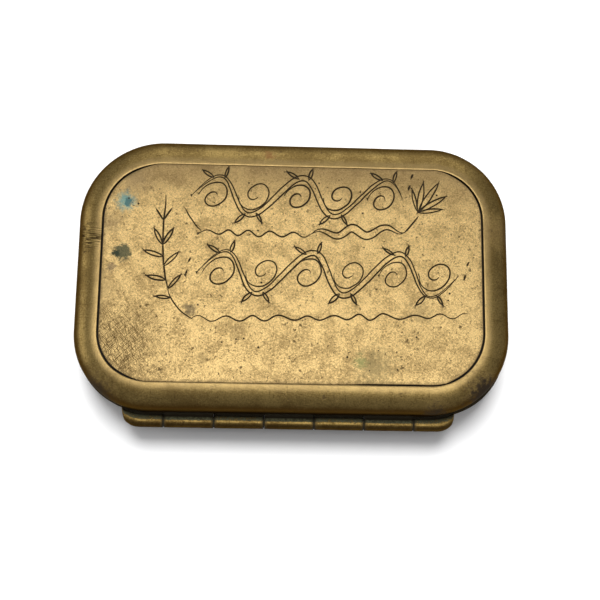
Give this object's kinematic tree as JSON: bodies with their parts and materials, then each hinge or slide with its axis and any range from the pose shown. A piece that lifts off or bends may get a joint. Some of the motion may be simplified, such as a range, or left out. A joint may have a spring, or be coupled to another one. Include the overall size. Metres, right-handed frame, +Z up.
{
  "type": "needle case",
  "caption": "Shallow hinged pocket case with rolled rims, let-in top and bottom plates and a flannel pad inside, for keeping sewing needles.",
  "frame": {"origin": "centre of the case's plan on the underside of the base plate, on the surface it stands on", "axes": "+X along the length and the hinge pin, hinge on the -Y side, front opening edge on the +Y side, +Z up through the lid"},
  "size_m": [0.0826, 0.0551, 0.0118],
  "materials": {
    "rim_brass": "worn, tarnished olive brown",
    "plate_brass": "worn satin, pitted, engraved",
    "hinge_brass": "worn, with green corrosion in the joints",
    "pin_brass": "dull drawn wire",
    "card": "plain stiff card",
    "flannel": "napped wool flannel"
  },
  "bodies": {
    "base": {"base_rim": "rim_brass", "base_plate": "plate_brass", "base_bezel": "rim_brass", "pad_card": "card", "needle_pad": "flannel", "hinge_pin": "pin_brass", "hinge_knuckle_1": "hinge_brass", "hinge_knuckle_3": "hinge_brass", "hinge_knuckle_5": "hinge_brass", "hinge_knuckle_7": "hinge_brass"},
    "lid": {"lid_rim": "rim_brass", "lid_plate": "plate_brass", "hinge_knuckle_2": "hinge_brass", "hinge_knuckle_4": "hinge_brass", "hinge_knuckle_6": "hinge_brass"}
  },
  "joints": [
    {"name": "lid_hinge", "type": "hinge", "parent": "base", "child": "lid", "pos_m": [0, -0.02778, 0.0059], "axis": [1, 0, 0], "range_deg": [0, 180]}
  ]
}
